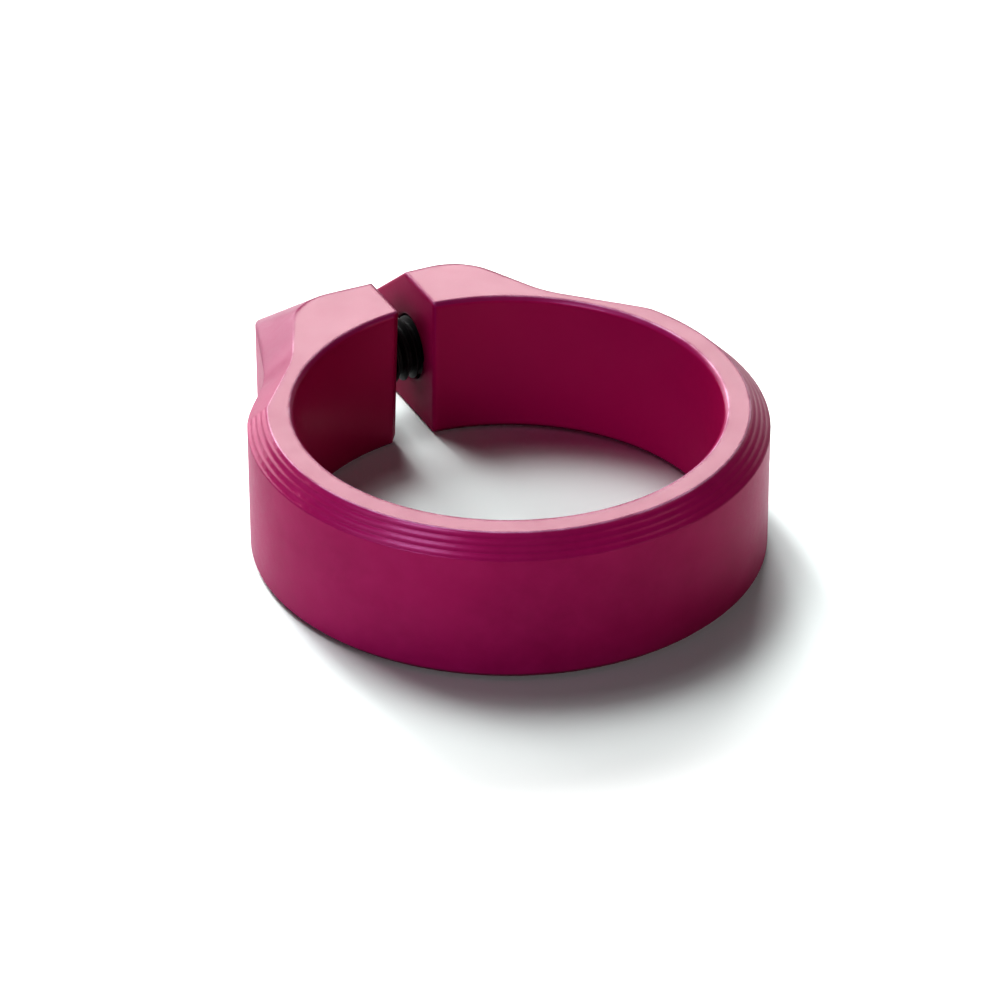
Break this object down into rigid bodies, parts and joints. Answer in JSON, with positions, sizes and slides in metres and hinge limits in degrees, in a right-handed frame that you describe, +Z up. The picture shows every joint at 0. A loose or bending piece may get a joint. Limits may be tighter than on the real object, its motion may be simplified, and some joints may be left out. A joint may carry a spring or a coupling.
{
  "type": "seatpost clamp",
  "caption": "Split-ring bicycle seatpost clamp with a grooved top chamfer and two ears at the slot, drawn together by a recessed socket-head bolt and washer.",
  "frame": {"origin": "on the bore axis, in the plane of the bottom face", "axes": "+Z up along the bore axis, +Y from the bore axis towards the slot and ears, +X along the clamp bolt towards its head"},
  "size_m": [0.0386, 0.0473, 0.0115],
  "materials": {
    "anodised": "satin, dyed anodised",
    "black_steel": "black oxide",
    "washer_steel": "black oxide"
  },
  "bodies": {
    "collar": {"clamp_collar": "anodised"},
    "washer": {"bolt_washer": "washer_steel"},
    "bolt": {"clamp_bolt": "black_steel"}
  },
  "joints": [
    {"name": "washer_slide", "type": "slide", "parent": "collar", "child": "washer", "axis": [1, 0, 0], "range_m": [0, 0.0064]},
    {"name": "bolt_turn", "type": "hinge", "parent": "washer", "child": "bolt", "pos_m": [0.0058, 0.0204, 0.00545], "axis": [1, 0, 0], "range_deg": [0, 2880]}
  ],
  "couplings": [
    {"joint": "bolt_turn", "follows": "washer_slide", "rad_per_m": 7854}
  ]
}
